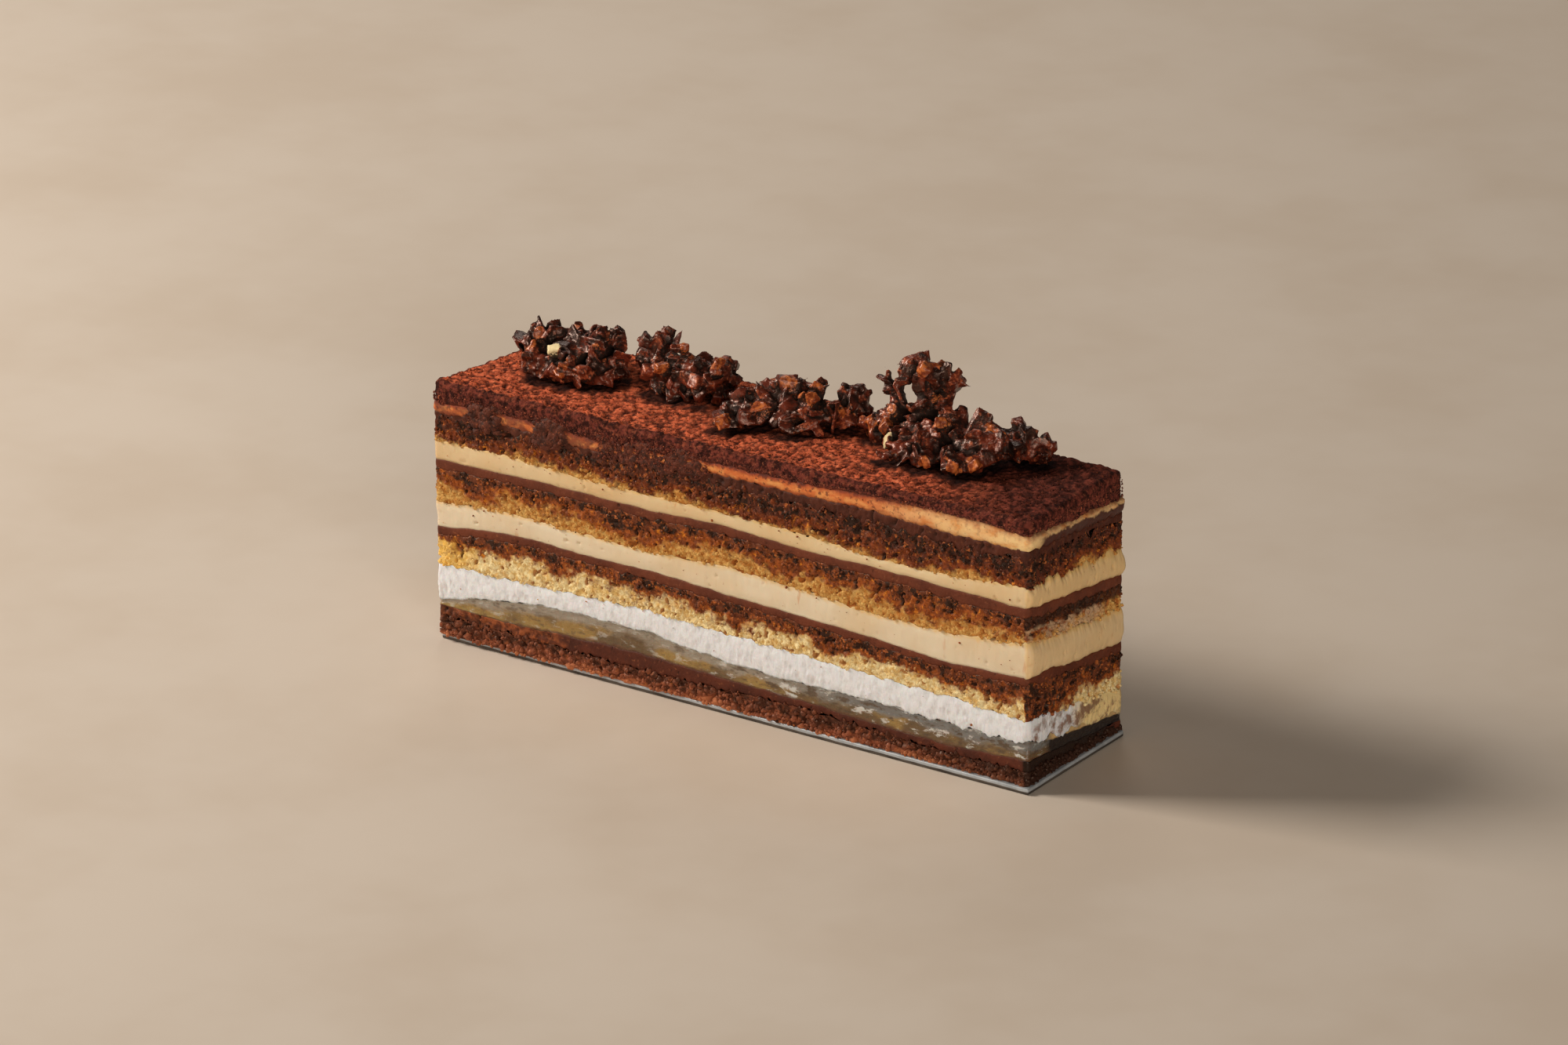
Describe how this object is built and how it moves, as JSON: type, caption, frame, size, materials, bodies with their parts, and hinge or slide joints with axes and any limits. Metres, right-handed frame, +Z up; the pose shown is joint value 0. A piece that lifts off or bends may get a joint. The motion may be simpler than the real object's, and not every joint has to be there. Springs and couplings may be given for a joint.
{
  "type": "opera cake slice",
  "caption": "Bar-shaped slice of opera cake: thin layers of sponge, ganache, cream and jelly under cocoa, topped with rough clusters of nuts in chocolate, on a thin silver card.",
  "frame": {"origin": "middle of the card's underside, under the centre of the whole part", "axes": "+X along the bar, to the right of the face that the clusters lie furthest from; +Y across the bar to its back; +Z up"},
  "size_m": [0.1174, 0.03, 0.0619],
  "materials": {
    "card": "thin card with a dull silver face",
    "chocolate_sponge": "open, moist chocolate crumb",
    "ganache": "smooth set chocolate ganache",
    "jelly": "cloudy set jelly",
    "white_cream": "white whipped cream, torn by the knife",
    "sponge": "golden almond sponge soaked dark with coffee",
    "cream": "pale yellow butter cream",
    "cocoa": "chocolate dusted with cocoa powder",
    "chocolate_nuts": "chopped nuts coated in dark chocolate"
  },
  "bodies": {
    "root": {"base_card": "card", "base_sponge": "chocolate_sponge", "base_ganache": "ganache", "jelly": "jelly", "white_cream": "white_cream", "sponge_low": "sponge", "ganache_low": "ganache", "cream_low": "cream", "sponge_middle": "sponge", "ganache_middle": "ganache", "cream_middle": "cream", "sponge_high": "sponge", "ganache_high": "ganache", "cream_high": "cream", "cocoa_top": "cocoa", "nut_cluster_1": "chocolate_nuts", "nut_cluster_2": "chocolate_nuts", "nut_cluster_3": "chocolate_nuts", "nut_cluster_4": "chocolate_nuts"}
  },
  "joints": []
}
